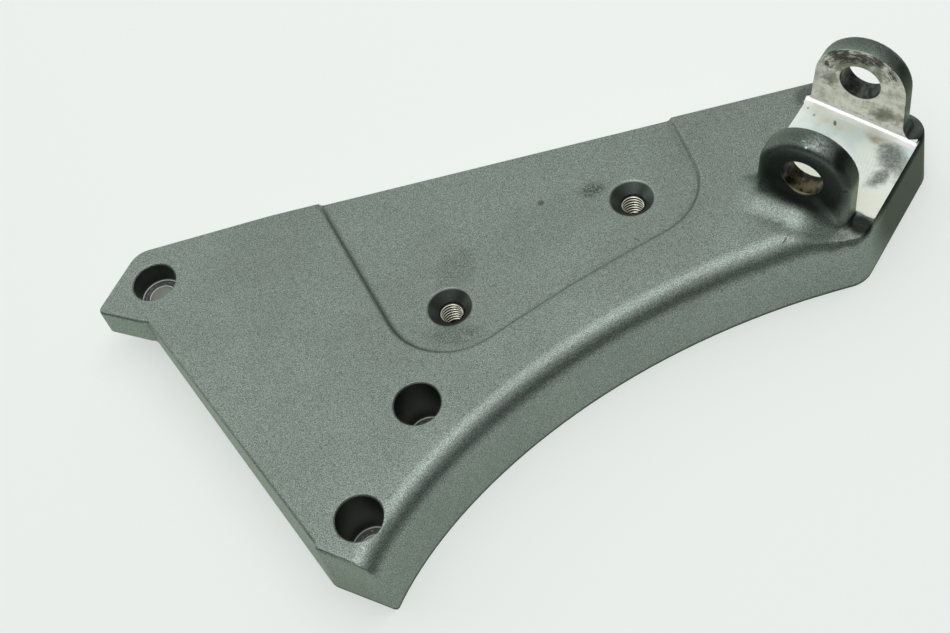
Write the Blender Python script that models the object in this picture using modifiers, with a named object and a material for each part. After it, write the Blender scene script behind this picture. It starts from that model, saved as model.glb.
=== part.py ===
"""Motorcycle footrest hanger.

One aluminium casting. Three socket-head screws in deep counterbores hold it to the frame, two tapped
holes in a shallow panel take a guard plate, and a folding footrest swings between two ears at its end.
The casting is lofted around its back outline, so that one edge can turn from a small radius to the
broad fold over the skirt. The ears are added to it, and the sockets, bores and the footrest slot are
then machined out of it.

Sizes are millimetres in the hanger's own frame: the first screw at the origin, the face at z = 0,
the back below it and +X along the top edge. The finished part stands on its back, with the middle of
that footprint at the world origin.
"""
import math
from collections import namedtuple

import bmesh
import bpy
from mathutils import Matrix, Vector

MM = 0.001
MERGE_DISTANCE = 0.01 * MM
PART = "footrest_hanger"

# The casting's depth and its walls
BACK_DEPTH = 25.0
TAB_DEPTH = 10.5
POCKET_ROOF = 6.5

# How far a cutter runs past the surface it opens, and past the casting where only its face counts
CUT_CLEARANCE = 4.0
CUTTER_REACH = 90.0

# Back outline: the top edge, then the corners of the tab and the foot with their radii in plan
TOP_EDGE = 17.1
TAB_FALL = 2.1
TOP_BEND = ((40.0, TOP_EDGE), 90.0)
TAB_SHOULDER = ((-6.2, TOP_EDGE - TAB_FALL), 9.0)
TAB_TIP = ((-20.3, -6.2), 2.8)
TAB_ROOT = ((-4.1, -15.5), 4.0)
FOOT_SIDE = ((41.7, -106.8), 5.0)
# The concave skirt starts at the foot's corner. Its first handle is measured from there, and the rest
# from the near corner of the clevis end, before which its fold turns into the end wall's edge
FOOT_CORNER = (59.0, -118.9)
SKIRT_START_HANDLE = (19.2, 30.3)
SKIRT_END_HANDLE = (-87.26, -7.63)
SKIRT_END = (-18.96, -1.03)
SKIRT_TURN_HANDLES = ((-14.76, -0.73), (-10.96, -0.43))
SKIRT_TURN_END = (-6.56, -0.23)

# Radii between the face and the walls, and the draft of the walls in degrees
FOLD_RADIUS = 8.5
EDGE_RADIUS = 1.2
END_RADIUS = 3.0
TURN_RADIUS = 6.0
TURN_DROP = 3.6
SKIRT_DRAFT = 4.5
SIDE_DRAFT = 3.0
TOP_DRAFT = 2.0
FOOT_DRAFT = 0.5
FOOT_EDGE_BEVEL = 1.0

# Screws to the frame: centre, depth of the counterbore
FRAME_SCREWS = (((0.0, 0.0), 8.4), ((77.1, -68.3), 19.6), ((55.8, -100.7), 19.6))
COUNTERBORE_RADIUS = 7.0
SCREW_HOLE_RADIUS = 4.2
RIM_CHAMFER = 0.5
SCREW_SEAT = 6.6
SCREW_BOSS_RADIUS = 11.0
SCREW_BOSS_TAPER = 0.4

# Tapped holes for the guard plate, drawn at the thread's root
GUARD_SCREWS = ((91.6, -35.6), (154.1, -11.1))
THREAD_RADIUS = 3.9
THREAD_DEPTH = 13.0
COUNTERSINK_RADIUS = 7.0
COUNTERSINK_LIP = 0.4
DRILL_POINT = 2.2

# Shallow panel for the guard plate, open at the top edge
PANEL_DEPTH = 2.1
PANEL_CORNERS = (((55.3, 19.0), 0.0), ((79.7, -61.1), 21.0), ((129.3, -38.4), 400.0),
                 ((178.0, -22.0), 22.0), ((172.9, 19.0), 0.0))
PANEL_WALL = ((1.3, 0.6), (1.3, 0.0), (0.75, -0.14), (0.3, -0.5), (0.0, -1.05),
              (-0.3, -1.6), (-0.75, -1.96), (-1.3, -PANEL_DEPTH))

# Underside at the tab: flat, then falling away from the tab's root to the full depth
RELIEF_DIRECTION = (0.87, -0.5)
RELIEF_LENGTH = 85.7

# Pockets between the ribs of the back: corners with their radii, the walls' draft and floor radius
POCKET_DRAFT = 3.0
POCKET_FLOOR_RADIUS = 2.4
POCKETS = {
    "upper_left": (((15.5, 11.2), 4.0), ((12.5, -6.5), 4.0), ((68.5, -56.3), 3.5), ((77.0, -54.5), 3.5),
                   ((83.2, -40.2), 3.5), ((81.3, -31.5), 6.0), ((87.6, -24.5), 3.5), ((84.0, 11.2), 4.0)),
    "lower_left": (((10.8, -12.8), 3.5), ((8.0, -24.5), 4.0), ((38.6, -86.8), 4.5), ((60.5, -82.5), 4.0),
                   ((64.2, -61.0), 4.0)),
    "skirt_left": (((85.8, -57.0), 3.5), ((91.0, -64.5), 6.0), ((92.8, -76.0), 4.0), ((114.3, -66.2), 3.5),
                   ((97.9, -46.4), 3.5), ((89.8, -47.6), 3.5)),
    "upper_middle": (((88.3, 11.2), 4.0), ((91.4, -23.6), 3.5), ((102.0, -29.0), 3.5), ((143.0, -12.6), 3.5),
                     ((150.4, -0.5), 3.5), ((148.6, 11.2), 4.0)),
    "skirt_middle": (((103.6, -33.4), 3.5), ((100.0, -42.6), 3.5), ((121.8, -62.4), 3.5),
                     ((142.0, -53.5), 120.0), ((160.8, -47.4), 4.0), ((157.0, -22.8), 3.5),
                     ((144.2, -17.4), 3.5)),
    "upper_right": (((153.0, 11.2), 4.0), ((157.0, -0.2), 3.5), ((167.0, -6.2), 3.5), ((194.5, -2.0), 4.0),
                    ((206.0, 11.2), 4.0)),
    "skirt_right": (((160.0, -22.5), 3.5), ((166.6, -46.0), 4.0), ((195.5, -41.2), 4.5),
                    ((180.3, -22.0), 8.0), ((189.8, -7.6), 4.0), ((168.0, -11.6), 3.5)),
}
# Pocket under the slot's floor: its roof, where it starts across the pin, how far it runs past the
# ears' sides and the slot's near and far walls, and its corner radius
CLEVIS_POCKET_ROOF = 14.0
CLEVIS_POCKET_START = -16.5
CLEVIS_POCKET_END = 0.3
CLEVIS_POCKET_NEAR = 3.2
CLEVIS_POCKET_FAR = 1.5
CLEVIS_POCKET_CORNER = 6.0

# Footrest clevis: the pin lies above PIN_FOOT, at PIN_AZIMUTH degrees from the top edge
PIN_FOOT = (229.2, -0.66)
PIN_AZIMUTH = 48.19
PIN_HEIGHT = 13.0
PIN_RADIUS = 6.7
SLOT_WIDTH = 33.8
EAR_THICKNESS = 7.1
EAR_RADIUS = 14.7
LOBE_DROP = 1.2
EAR_FOOT_SPREAD = 1.3
EAR_ROOT = 12.0
EAR_EDGE_RADIUS = 2.5
EAR_FLARE = 4.2
SLOT_FLOOR_ANGLE = 8.65
SLOT_FLOOR_START = -16.5
SLOT_CORNER_RADIUS = 1.6
EAR_STOCK = 3.0

# Past the ears the face drops to a ledge that stands this much above the slot's floor and starts
# under the ears. Outside the near ear the face comes down to it in an even curve, which stops short
# of the ear's side. The end wall's rounded edge starts a little above the slot's floor.
LEDGE_RISE = 0.25
CORNER_RISE = 0.18
LEDGE_COVER = 2.2
DESCENT_LENGTH = 16.0
DESCENT_STOP = 0.7
EDGE_ABOVE_LEDGE = 1.07
# The ledge and the descent both start under the near ear, this far apart
SEAM_STAGGER = 0.4

# Cast fillets at the feet of the ears
NEAR_FILLET = 10.0
SIDE_FILLET = 3.0
FAR_FILLET = 2.0
LEAST_FILLET = 0.4
NEAR_FADE = (2.0, 14.0)
NEAR_FADED = 3.0
FAR_FADE = (4.0, 11.0)
FILLET_CORNER = 3.0
FILLET_STEP = 2.2
FILLET_RINGS = 7
# How deep a fillet's upright face lies inside its ear, how much further where the ear's side slopes,
# and how far its edge lies below the face
FILLET_OVERLAP = 0.12
FILLET_LEAN = 1.0
FILLET_SINK = 0.03

# The casting's walls past the ears, at the back: across the pin to the end wall, and along it
END_WALL_MARGIN = 7.7
FAR_WALL_MARGIN = 2.5
NEAR_WALL_MARGIN = 1.6
TOP_CORNER_RADIUS = 8.0
NEAR_CORNER_RADIUS = 10.0
FAR_CORNER_RADIUS = 8.5

# Round shapes are drawn with about one point in ARC_STEP degrees
ARC_STEP = 9.0
HOLE_POINTS = 48
EDGE_RINGS = 6
DESCENT_STEPS = 14
SKIRT_STEP = 4.8
SMOOTH_ANGLE = 32.0

# How a wall leaves the face: the radius between them, the draft in degrees, and how far below the
# face that radius starts
Wall = namedtuple("Wall", "edge draft drop", defaults=(0.0,))
# A corner of an outline: its place, its radius in plan, the wall along the stretch that follows it
# and, on a bent stretch, its two Bezier handles
Corner = namedtuple("Corner", "place radius wall handles", defaults=(Wall(0.0, 0.0), None))
# A point of an outline with the walls before and after it
Station = namedtuple("Station", "place before after")


def clevis_point(across, along):
    """Plan position from distances across the pin, towards the end wall, and along it."""
    turn = math.radians(PIN_AZIMUTH)
    pin = Vector((math.cos(turn), math.sin(turn)))
    side = Vector((pin.y, -pin.x))
    return Vector(PIN_FOOT) + side * across + pin * along


def near_outer_face():
    """Place along the pin of the near ear's outer face, where the slot's far wall is at 0."""
    return -SLOT_WIDTH - EAR_THICKNESS


def back_outline():
    """Corners of the casting's back edge, anticlockwise from the top edge's right end."""
    end = EAR_RADIUS + END_WALL_MARGIN
    far = EAR_THICKNESS + FAR_WALL_MARGIN
    corner = clevis_point(end, near_outer_face() - NEAR_WALL_MARGIN)
    foot = Vector(FOOT_CORNER)
    skirt_handles = (foot + Vector(SKIRT_START_HANDLE), corner + Vector(SKIRT_END_HANDLE))
    turn_handles = [corner + Vector(handle) for handle in SKIRT_TURN_HANDLES]
    edge_drop = -ledge_height(end) - EDGE_ABOVE_LEDGE
    turn = math.radians(PIN_AZIMUTH)
    far_corner_across = (PIN_FOOT[1] + far * math.sin(turn) - TOP_EDGE) / math.cos(turn)
    return (
        Corner(clevis_point(far_corner_across, far), TOP_CORNER_RADIUS, Wall(EDGE_RADIUS, TOP_DRAFT)),
        Corner(*TOP_BEND, Wall(EDGE_RADIUS, TOP_DRAFT)),
        Corner(*TAB_SHOULDER, Wall(EDGE_RADIUS, TOP_DRAFT)),
        Corner(*TAB_TIP, Wall(EDGE_RADIUS, FOOT_DRAFT)),
        Corner(*TAB_ROOT, Wall(EDGE_RADIUS, SIDE_DRAFT)),
        Corner(*FOOT_SIDE, Wall(EDGE_RADIUS, FOOT_DRAFT)),
        Corner(foot, 0.0, Wall(FOLD_RADIUS, SKIRT_DRAFT), skirt_handles),
        Corner(corner + Vector(SKIRT_END), 0.0, Wall(FOLD_RADIUS, SKIRT_DRAFT), turn_handles),
        Corner(corner + Vector(SKIRT_TURN_END), 0.0, Wall(TURN_RADIUS, SKIRT_DRAFT, TURN_DROP)),
        Corner(corner, NEAR_CORNER_RADIUS, Wall(END_RADIUS, SKIRT_DRAFT, edge_drop)),
        Corner(clevis_point(end, far), FAR_CORNER_RADIUS, Wall(EDGE_RADIUS, TOP_DRAFT)),
    )


def bezier(start, first, second, end, t):
    """Point at t on a cubic Bezier curve."""
    s = 1.0 - t
    return start * s ** 3 + first * (3 * s * s * t) + second * (3 * s * t * t) + end * t ** 3


def between(first, second, share):
    """The wall that lies a share of the way, eased at both ends, from one wall to another."""
    ease = share * share * (3 - 2 * share)
    return Wall(*(a + (b - a) * ease for a, b in zip(first, second)))


def corner_arc(corner, before, after, radius):
    """Points of the arc of a given radius that rounds a corner between its two neighbours."""
    back = (before - corner).normalized()
    ahead = (after - corner).normalized()
    opening = back.angle(ahead)
    reach = radius / math.tan(opening / 2)
    centre = corner + (back + ahead).normalized() * (radius / math.sin(opening / 2))
    steps = max(2, math.ceil(math.degrees(math.pi - opening) / ARC_STEP))
    start = corner + back * reach - centre
    end = corner + ahead * reach - centre
    turn = start.angle_signed(end)
    return [centre + Matrix.Rotation(-turn * i / steps, 2) @ start for i in range(steps + 1)]


def stations(corners):
    """Points of a rounded outline, each with what its walls are before and after it."""
    out = []
    for i, corner in enumerate(corners):
        place = Vector(corner.place)
        previous, following = corners[i - 1], corners[(i + 1) % len(corners)]
        before, after = previous.wall, corner.wall
        if corner.radius > 0:
            arc = corner_arc(place, Vector(previous.place), Vector(following.place), corner.radius)
            for k, point in enumerate(arc):
                wall = between(before, after, k / (len(arc) - 1))
                out.append(Station(point, wall, wall))
        else:
            out.append(Station(place, before, after))
        if corner.handles:
            first, second = (Vector(h) for h in corner.handles)
            end = Vector(following.place)
            pieces = max(6, round((end - place).length / SKIRT_STEP))
            for k in range(1, pieces):
                wall = between(after, following.wall, k / pieces)
                out.append(Station(bezier(place, first, second, end, k / pieces), wall, wall))
    return out


def rounded(corners):
    """Points of an outline from its corners, each a place and a radius."""
    return [s.place for s in stations([Corner(place, radius) for place, radius in corners])]


def wall_inset(depth, wall):
    """How far inside the back outline a wall lies at a depth below the face."""
    slope = math.tan(math.radians(wall.draft))
    below = max(0.0, depth - wall.drop)
    if below >= wall.edge * (1 - math.sin(math.radians(wall.draft))):
        return (BACK_DEPTH - depth) * slope
    turned_by = math.acos(1 - below / wall.edge)
    reach = wall.edge * math.tan(math.radians(45 - wall.draft / 2))
    return (BACK_DEPTH - wall.drop) * slope + reach - wall.edge * math.sin(turned_by)


def offset_point(here, before, after, inset_before, inset_after):
    """Corner where the two stretches at a point meet once each is moved inwards."""
    normals = []
    for a, b in ((before, here), (here, after)):
        run = (b - a).normalized()
        normals.append(Vector((-run.y, run.x)))
    first, second = normals
    cosine = first.dot(second)
    if cosine > 0.98:
        return here + (first + second) * ((inset_before + inset_after) / 2 / (1 + cosine))
    k = 1 - cosine * cosine
    along_first = (inset_before - inset_after * cosine) / k
    along_second = (inset_after - inset_before * cosine) / k
    return here + first * along_first + second * along_second


def offset_ring(outline, insets_before, insets_after):
    """An outline moved inwards by the distances given at each of its points."""
    count = len(outline)
    return [offset_point(outline[i], outline[i - 1], outline[(i + 1) % count],
                         insets_before[i], insets_after[i]) for i in range(count)]


def loft_object(name, rings, collection, material):
    """A closed solid through rings of equally many points, from the top ring to the bottom one."""
    bm = bmesh.new()
    rows = [[bm.verts.new(Vector(p) * MM) for p in ring] for ring in rings]
    bm.faces.new(rows[0])
    bm.faces.new(reversed(rows[-1]))
    count = len(rows[0])
    for upper, lower in zip(rows, rows[1:]):
        for i in range(count):
            j = (i + 1) % count
            bm.faces.new((upper[j], upper[i], lower[i], lower[j]))
    bmesh.ops.remove_doubles(bm, verts=bm.verts, dist=MERGE_DISTANCE)
    bmesh.ops.recalc_face_normals(bm, faces=bm.faces)
    mesh = bpy.data.meshes.new(name)
    bm.to_mesh(mesh)
    bm.free()
    return add_object(name, mesh, collection, material)


def add_object(name, mesh, collection, material):
    """Place a mesh in the scene and give it its material."""
    mesh.materials.append(material)
    obj = bpy.data.objects.new(name, mesh)
    collection.objects.link(obj)
    return obj


def as_guide(obj):
    """Mark an object as a form that other objects are joined to or cut by."""
    obj.hide_render = True
    obj.display_type = "WIRE"
    return obj


def metal(name, colour, roughness, metallic):
    """A Principled material for one finish of the casting."""
    material = bpy.data.materials.new(name)
    material.use_nodes = True
    shader = material.node_tree.nodes["Principled BSDF"]
    shader.inputs["Base Color"].default_value = (*colour, 1.0)
    shader.inputs["Roughness"].default_value = roughness
    shader.inputs["Metallic"].default_value = metallic
    material.diffuse_color = (*colour, 1.0)
    return material


def cast_body(collection, material):
    """The casting's outer form: face, edge radii or fold, drafted walls and flat back."""
    points = stations(back_outline())
    outline = [p.place for p in points]
    levels = [[0.0] * len(points)]
    for k in range(EDGE_RINGS + 1):
        broader = [max(p.before, p.after) for p in points]
        turns = [math.radians(90 - wall.draft) * k / EDGE_RINGS for wall in broader]
        levels.append([wall.drop + wall.edge * (1 - math.cos(turn)) for wall, turn in zip(broader, turns)])
    rings = []
    for depths in levels:
        before = [wall_inset(d, p.before) for d, p in zip(depths, points)]
        after = [wall_inset(d, p.after) for d, p in zip(depths, points)]
        plan = offset_ring(outline, before, after)
        rings.append([(p.x, p.y, -d) for p, d in zip(plan, depths)])
    rings.append([(p.x, p.y, -BACK_DEPTH) for p in outline])
    body = loft_object(PART, rings, collection, material)
    soften_foot_corner(body)
    return body


def soften_foot_corner(body):
    """Round the upright edge where the foot's end cuts the fold and the skirt."""
    corner = Vector(FOOT_CORNER) * MM
    mesh = body.data
    weight = mesh.attributes.new("bevel_weight_edge", "FLOAT", "EDGE")
    upright_reach = (FOLD_RADIUS + EDGE_RADIUS) * 1.3 * MM
    for edge in mesh.edges:
        a, b = (mesh.vertices[v].co for v in edge.vertices)
        near = max((a.xy - corner).length, (b.xy - corner).length) < upright_reach
        if near and abs(a.z - b.z) > 0.15 * MM:
            faces = [f for f in mesh.polygons if all(v in f.vertices for v in edge.vertices)]
            if faces[0].normal.angle(faces[1].normal) > math.radians(50):
                weight.data[edge.index].value = 1.0
    bevel = body.modifiers.new("foot corner", "BEVEL")
    bevel.limit_method = "WEIGHT"
    bevel.width = FOOT_EDGE_BEVEL * MM
    bevel.segments = 2


def flat_outline(name, points, thickness, collection, material, edge_radius=0.0):
    """A flat outline, thickened both ways from its plane, with rounded edges if asked."""
    curve = bpy.data.curves.new(name, "CURVE")
    curve.dimensions = "2D"
    curve.fill_mode = "BOTH"
    curve.extrude = (thickness / 2 - edge_radius) * MM
    curve.bevel_depth = edge_radius * MM
    curve.bevel_resolution = 3
    curve.offset = -edge_radius * MM
    spline = curve.splines.new("POLY")
    spline.points.add(len(points) - 1)
    for slot, (x, y) in zip(spline.points, points):
        slot.co = (x * MM, y * MM, 0.0, 1.0)
    spline.use_cyclic_u = True
    drawn = bpy.data.objects.new(name, curve)
    collection.objects.link(drawn)
    bpy.context.view_layer.update()
    mesh = bpy.data.meshes.new_from_object(drawn.evaluated_get(bpy.context.evaluated_depsgraph_get()))
    bpy.data.objects.remove(drawn)
    bm = bmesh.new()
    bm.from_mesh(mesh)
    bmesh.ops.remove_doubles(bm, verts=bm.verts, dist=MERGE_DISTANCE)
    bmesh.ops.recalc_face_normals(bm, faces=bm.faces)
    bm.to_mesh(mesh)
    bm.free()
    return as_guide(add_object(name, mesh, collection, material))


def frame_matrix(origin, x_axis, y_axis):
    """Matrix of a frame from its origin in millimetres and two of its axes."""
    x, y = Vector(x_axis).normalized(), Vector(y_axis).normalized()
    z = x.cross(y)
    turn = Matrix((x, y, z)).transposed().to_4x4()
    return Matrix.Translation(Vector(origin) * MM) @ turn


def pin_direction():
    """Unit vector along the footrest pin, away from the skirt."""
    turn = math.radians(PIN_AZIMUTH)
    return Vector((math.cos(turn), math.sin(turn), 0.0))


def side_direction():
    """Unit vector across the pin, towards the end wall."""
    pin = pin_direction()
    return Vector((pin.y, -pin.x, 0.0))


def turned(name, profile, collection, material, matrix):
    """A turned form whose profile gives radius and height, top to bottom."""
    bm = bmesh.new()
    row = [bm.verts.new((r * MM, 0.0, z * MM)) for r, z in profile]
    for a, b in zip(row, row[1:]):
        bm.edges.new((a, b))
    mesh = bpy.data.meshes.new(name)
    bm.to_mesh(mesh)
    bm.free()
    obj = as_guide(add_object(name, mesh, collection, material))
    obj.matrix_world = matrix
    screw = obj.modifiers.new("turning", "SCREW")
    screw.steps = HOLE_POINTS
    screw.render_steps = HOLE_POINTS
    screw.use_merge_vertices = True
    screw.merge_threshold = MERGE_DISTANCE
    return obj


def join(body, form, operation):
    """Add a form to the body or cut it out, by an exact Boolean."""
    boolean = body.modifiers.new(form.name, "BOOLEAN")
    boolean.operation = operation
    boolean.solver = "EXACT"
    boolean.material_mode = "TRANSFER"
    boolean.object = form


def counterbore(name, centre, depth, collection, material):
    """A screw's counterbore and hole, with a chamfer at the face."""
    r, hole = COUNTERBORE_RADIUS, SCREW_HOLE_RADIUS
    profile = ((0.0, CUT_CLEARANCE), (r + RIM_CHAMFER, CUT_CLEARANCE), (r + RIM_CHAMFER, 0.0),
               (r, -RIM_CHAMFER), (r, -depth), (hole, -depth),
               (hole, -BACK_DEPTH - CUT_CLEARANCE), (0.0, -BACK_DEPTH - CUT_CLEARANCE))
    return turned(name, profile, collection, material, Matrix.Translation(Vector((*centre, 0.0)) * MM))


def tapped_hole(name, centre, collection, material):
    """A blind tapped hole with its countersink in the panel."""
    r, lip = COUNTERSINK_RADIUS, COUNTERSINK_LIP
    floor = -PANEL_DEPTH
    cone = r - THREAD_RADIUS
    bottom = floor - cone - THREAD_DEPTH
    profile = ((0.0, CUT_CLEARANCE), (r + lip, CUT_CLEARANCE), (r + lip, floor), (r - lip / 2, floor - lip),
               (THREAD_RADIUS, floor - cone), (THREAD_RADIUS, bottom), (0.0, bottom - DRILL_POINT))
    return turned(name, profile, collection, material, Matrix.Translation(Vector((*centre, 0.0)) * MM))


def panel_cutter(collection, material):
    """The guard plate's shallow panel, whose wall rolls over at the face and into the floor."""
    outline = rounded(PANEL_CORNERS)
    rings = []
    for outset, z in PANEL_WALL:
        inset = [-outset] * len(outline)
        rings.append([(p.x, p.y, z) for p in offset_ring(outline, inset, inset)])
    return as_guide(loft_object("guard_panel", rings, collection, material))


def ear_outline(flared):
    """An ear seen along the pin: a round lobe on sides that spread to its foot."""
    lobe = []
    steps = math.ceil(180 / ARC_STEP)
    for i in range(steps + 1):
        turn = math.pi * i / steps
        height = PIN_HEIGHT - LOBE_DROP + EAR_RADIUS * math.sin(turn)
        lobe.append((EAR_RADIUS * math.cos(turn), height))
    left = [(-EAR_RADIUS - EAR_FOOT_SPREAD, 0.0), (-EAR_RADIUS - EAR_FOOT_SPREAD, -EAR_ROOT)]
    if not flared:
        return [*lobe, *left, (EAR_RADIUS - EAR_FOOT_SPREAD / 2, -EAR_ROOT)]
    ledge = ledge_height(EAR_RADIUS + EAR_FLARE)
    flare = []
    for i in range(5):
        turn = math.radians(90 * i / 4)
        flare.append((EAR_RADIUS + EAR_FLARE * (1 - math.sin(turn)),
                      ledge + EAR_FLARE * (1 - math.cos(turn))))
    return [*lobe, *left, (EAR_RADIUS + EAR_FLARE, -EAR_ROOT), *flare]


def ledge_height(across):
    """Height of the slot's sloping floor at a distance across the pin."""
    return -math.tan(math.radians(SLOT_FLOOR_ANGLE)) * (across - SLOT_FLOOR_START)


def ear(name, outer, inner, flared, collection, material):
    """One ear, between two distances along the pin, with its outer edge well rounded."""
    thickness = abs(outer - inner)
    solid = flat_outline(name, ear_outline(flared), thickness, collection, material, EAR_EDGE_RADIUS)
    centre = clevis_point(0.0, (outer + inner) / 2)
    solid.matrix_world = frame_matrix((*centre, 0.0), side_direction(), (0.0, 0.0, 1.0))
    return solid


def smooth_share(value, start, end):
    """How far a value has come from start to end, eased at both."""
    share = min(1.0, max(0.0, (value - start) / (end - start)))
    return share * share * (3 - 2 * share)


def near_fillet_radius(across, along):
    """Fillet radius round the near ear: broad outside, small at the side, closing over the fold."""
    if across > EAR_RADIUS - FILLET_CORNER:
        return NEAR_FADED + (LEAST_FILLET - NEAR_FADED) * smooth_share(along, near_outer_face(), -SLOT_WIDTH)
    outside = smooth_share(along, -SLOT_WIDTH, near_outer_face())
    fade = smooth_share(across, *NEAR_FADE)
    return (SIDE_FILLET + (NEAR_FILLET - SIDE_FILLET) * outside) * (1 - fade) + NEAR_FADED * fade


def far_fillet_radius(across, along):
    """Fillet radius round the far ear, gone where the ledge begins."""
    fade = smooth_share(across, *FAR_FADE)
    side = SIDE_FILLET + (FAR_FILLET - SIDE_FILLET) * smooth_share(along, 0.0, EAR_THICKNESS)
    return side * (1 - fade) + LEAST_FILLET * fade


def fold_depth(place, skirt_runs):
    """Depth below the face of the fold over the skirt, whose outline is given in runs."""
    gap, wall = 1000.0, None
    for a, b in skirt_runs:
        run = b.place - a.place
        share = min(1.0, max(0.0, (place - a.place).dot(run) / run.length_squared))
        distance = (place - a.place - run * share).length
        if distance < gap:
            gap, wall = distance, between(a.after, b.before, share)
    shallow, deep = 0.0, BACK_DEPTH
    while deep - shallow > 0.005:
        middle = (shallow + deep) / 2
        shallow, deep = (shallow, middle) if wall_inset(middle, wall) < gap else (middle, deep)
    return shallow


def descent_span():
    """Where the descent outside the near ear starts and ends, across the pin."""
    end = EAR_RADIUS - DESCENT_STOP
    return end - DESCENT_LENGTH, end


def descent_height(across):
    """Height of the face outside the near ear, where it comes down to the ledge."""
    start, end = descent_span()
    return (ledge_height(max(across, start)) + CORNER_RISE) * smooth_share(across, start, end)


def fillet_section(radius, height_at):
    """Arc between an upright face at 0 and a surface: places out from the face with their heights."""
    reach = [radius * 1.6 * i / 40 for i in range(41)]
    ground = [height_at(u) - FILLET_SINK for u in reach]
    low, high = min(ground) - radius, max(ground) + radius
    while high - low > 0.005:
        centre = (low + high) / 2
        clear = min(math.hypot(u - radius, z - centre) for u, z in zip(reach, ground)) > radius
        touches = centre > ground[0] and clear
        low, high = (low, centre) if touches else (centre, high)
    foot = min(range(41), key=lambda i: math.hypot(reach[i] - radius, ground[i] - high))
    end = math.atan2(high - ground[foot], radius - reach[foot])
    turns = [end * k / FILLET_RINGS for k in range(FILLET_RINGS + 1)]
    return [(radius * (1 - math.cos(t)), high - radius * math.sin(t)) for t in turns]


def fine_outline(corners, step):
    """A rounded outline with no stretch longer than a step."""
    coarse = rounded(corners)
    out = []
    for i, point in enumerate(coarse):
        following = coarse[(i + 1) % len(coarse)]
        pieces = max(1, round((following - point).length / step))
        out += [point.lerp(following, k / pieces) for k in range(pieces)]
    return out


def ear_fillet(name, begin, finish, radius_at, ground_at, collection, material):
    """The cast fillet round an ear's foot, between two distances along the pin."""
    inside = FILLET_OVERLAP
    left = -EAR_RADIUS - EAR_FOOT_SPREAD + FILLET_LEAN
    right = EAR_RADIUS - EAR_FOOT_SPREAD / 2 - inside
    sides = (begin + inside, finish - inside)
    corners = ((left, sides[1]), (left, sides[0]), (right, sides[0]), (right, sides[1]))
    local = fine_outline([(p, FILLET_CORNER) for p in corners], FILLET_STEP)
    outward = offset_ring(local, [-1.0] * len(local), [-1.0] * len(local))
    sections = []
    for here, out in zip(local, outward):
        away = (out - here).normalized()
        sections.append(fillet_section(radius_at(*here), lambda u: ground_at(here + away * u)))
    rings = []
    for k in range(FILLET_RINGS + 1):
        spread = [-section[k][0] for section in sections]
        plan = [clevis_point(*p) for p in offset_ring(local, spread, spread)]
        rings.append([(p.x, p.y, section[k][1]) for p, section in zip(plan, sections)])
    rings.append([(x, y, z - EDGE_RADIUS) for x, y, z in rings[-1]])
    return as_guide(loft_object(name, rings, collection, material))


def slot_cutter(collection, material):
    """The footrest slot between the ears, milled down to its sloping floor."""
    r, top = SLOT_CORNER_RADIUS, CUTTER_REACH
    corners = (((-SLOT_WIDTH, top), 0.0), ((-SLOT_WIDTH, 0.0), r), ((0.0, 0.0), r), ((0.0, top), 0.0))
    solid = flat_outline("footrest_slot", rounded(corners), CUTTER_REACH, collection, material)
    solid.matrix_world = floor_frame(0.0, 0.0)
    return solid


def floor_frame(across, rise):
    """Frame on the slot's floor at a distance across the pin: x along the pin, y up, z to the tab."""
    slope = math.radians(SLOT_FLOOR_ANGLE)
    up = Vector((0.0, 0.0, math.cos(slope))) + side_direction() * math.sin(slope)
    foot = clevis_point(across, 0.0)
    return frame_matrix((*foot, ledge_height(across) + rise), pin_direction(), up)


def ledge_cutter(collection, material):
    """Lowers the casting past the ears to a ledge just above the slot's floor."""
    far = CUTTER_REACH
    inside_ear = near_outer_face() + EAR_THICKNESS / 2
    points = ((inside_ear, 0.0), (far, 0.0), (far, far), (inside_ear, far))
    solid = flat_outline("end_ledge", points, far, collection, material)
    solid.matrix_world = floor_frame(EAR_RADIUS - LEDGE_COVER + far / 2, LEDGE_RISE)
    return solid


def descent_cutter(collection, material):
    """Brings the face outside the near ear down to the ledge, in an even curve."""
    start, end = descent_span()
    far = CUTTER_REACH
    places = [start + (end - start) * i / DESCENT_STEPS for i in range(1, DESCENT_STEPS + 1)]
    curve = [(across, descent_height(across)) for across in (*places, far)]
    points = [(start, 0.0), *curve, (far, far), (start, far)]
    solid = flat_outline("corner_descent", points, far, collection, material)
    inside_ear = near_outer_face() + EAR_THICKNESS / 2 + SEAM_STAGGER
    centre = clevis_point(0.0, inside_ear - far / 2)
    solid.matrix_world = frame_matrix((*centre, 0.0), side_direction(), (0.0, 0.0, 1.0))
    return solid


def pin_cutter(collection, material):
    """The footrest pin's bore, through both ears."""
    reach = SLOT_WIDTH / 2 + EAR_THICKNESS + CUT_CLEARANCE
    profile = ((0.0, reach), (PIN_RADIUS, reach), (PIN_RADIUS, -reach), (0.0, -reach))
    centre = clevis_point(0.0, -SLOT_WIDTH / 2)
    up = Vector((0.0, 0.0, 1.0))
    matrix = frame_matrix((*centre, PIN_HEIGHT), up, pin_direction().cross(up))
    return turned("footrest_pin_bore", profile, collection, material, matrix)


def pocket_cutter(name, corners, roof, collection, material):
    """One pocket of the back: drafted walls with a rounded join to its roof."""
    outline = rounded(corners)
    slope = math.tan(math.radians(POCKET_DRAFT))
    mouth = BACK_DEPTH + CUT_CLEARANCE
    levels = [(-CUT_CLEARANCE * slope, mouth)]
    base = roof + POCKET_FLOOR_RADIUS
    for k in range(4):
        turn = math.radians(90) * k / 3
        inset = (BACK_DEPTH - base) * slope + POCKET_FLOOR_RADIUS * (1 - math.cos(turn))
        levels.append((inset, base - POCKET_FLOOR_RADIUS * math.sin(turn)))
    rings = []
    for inset, depth in reversed(levels):
        insets = [inset] * len(outline)
        rings.append([(p.x, p.y, -depth) for p in offset_ring(outline, insets, insets)])
    return as_guide(loft_object(name, rings, collection, material))


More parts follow.
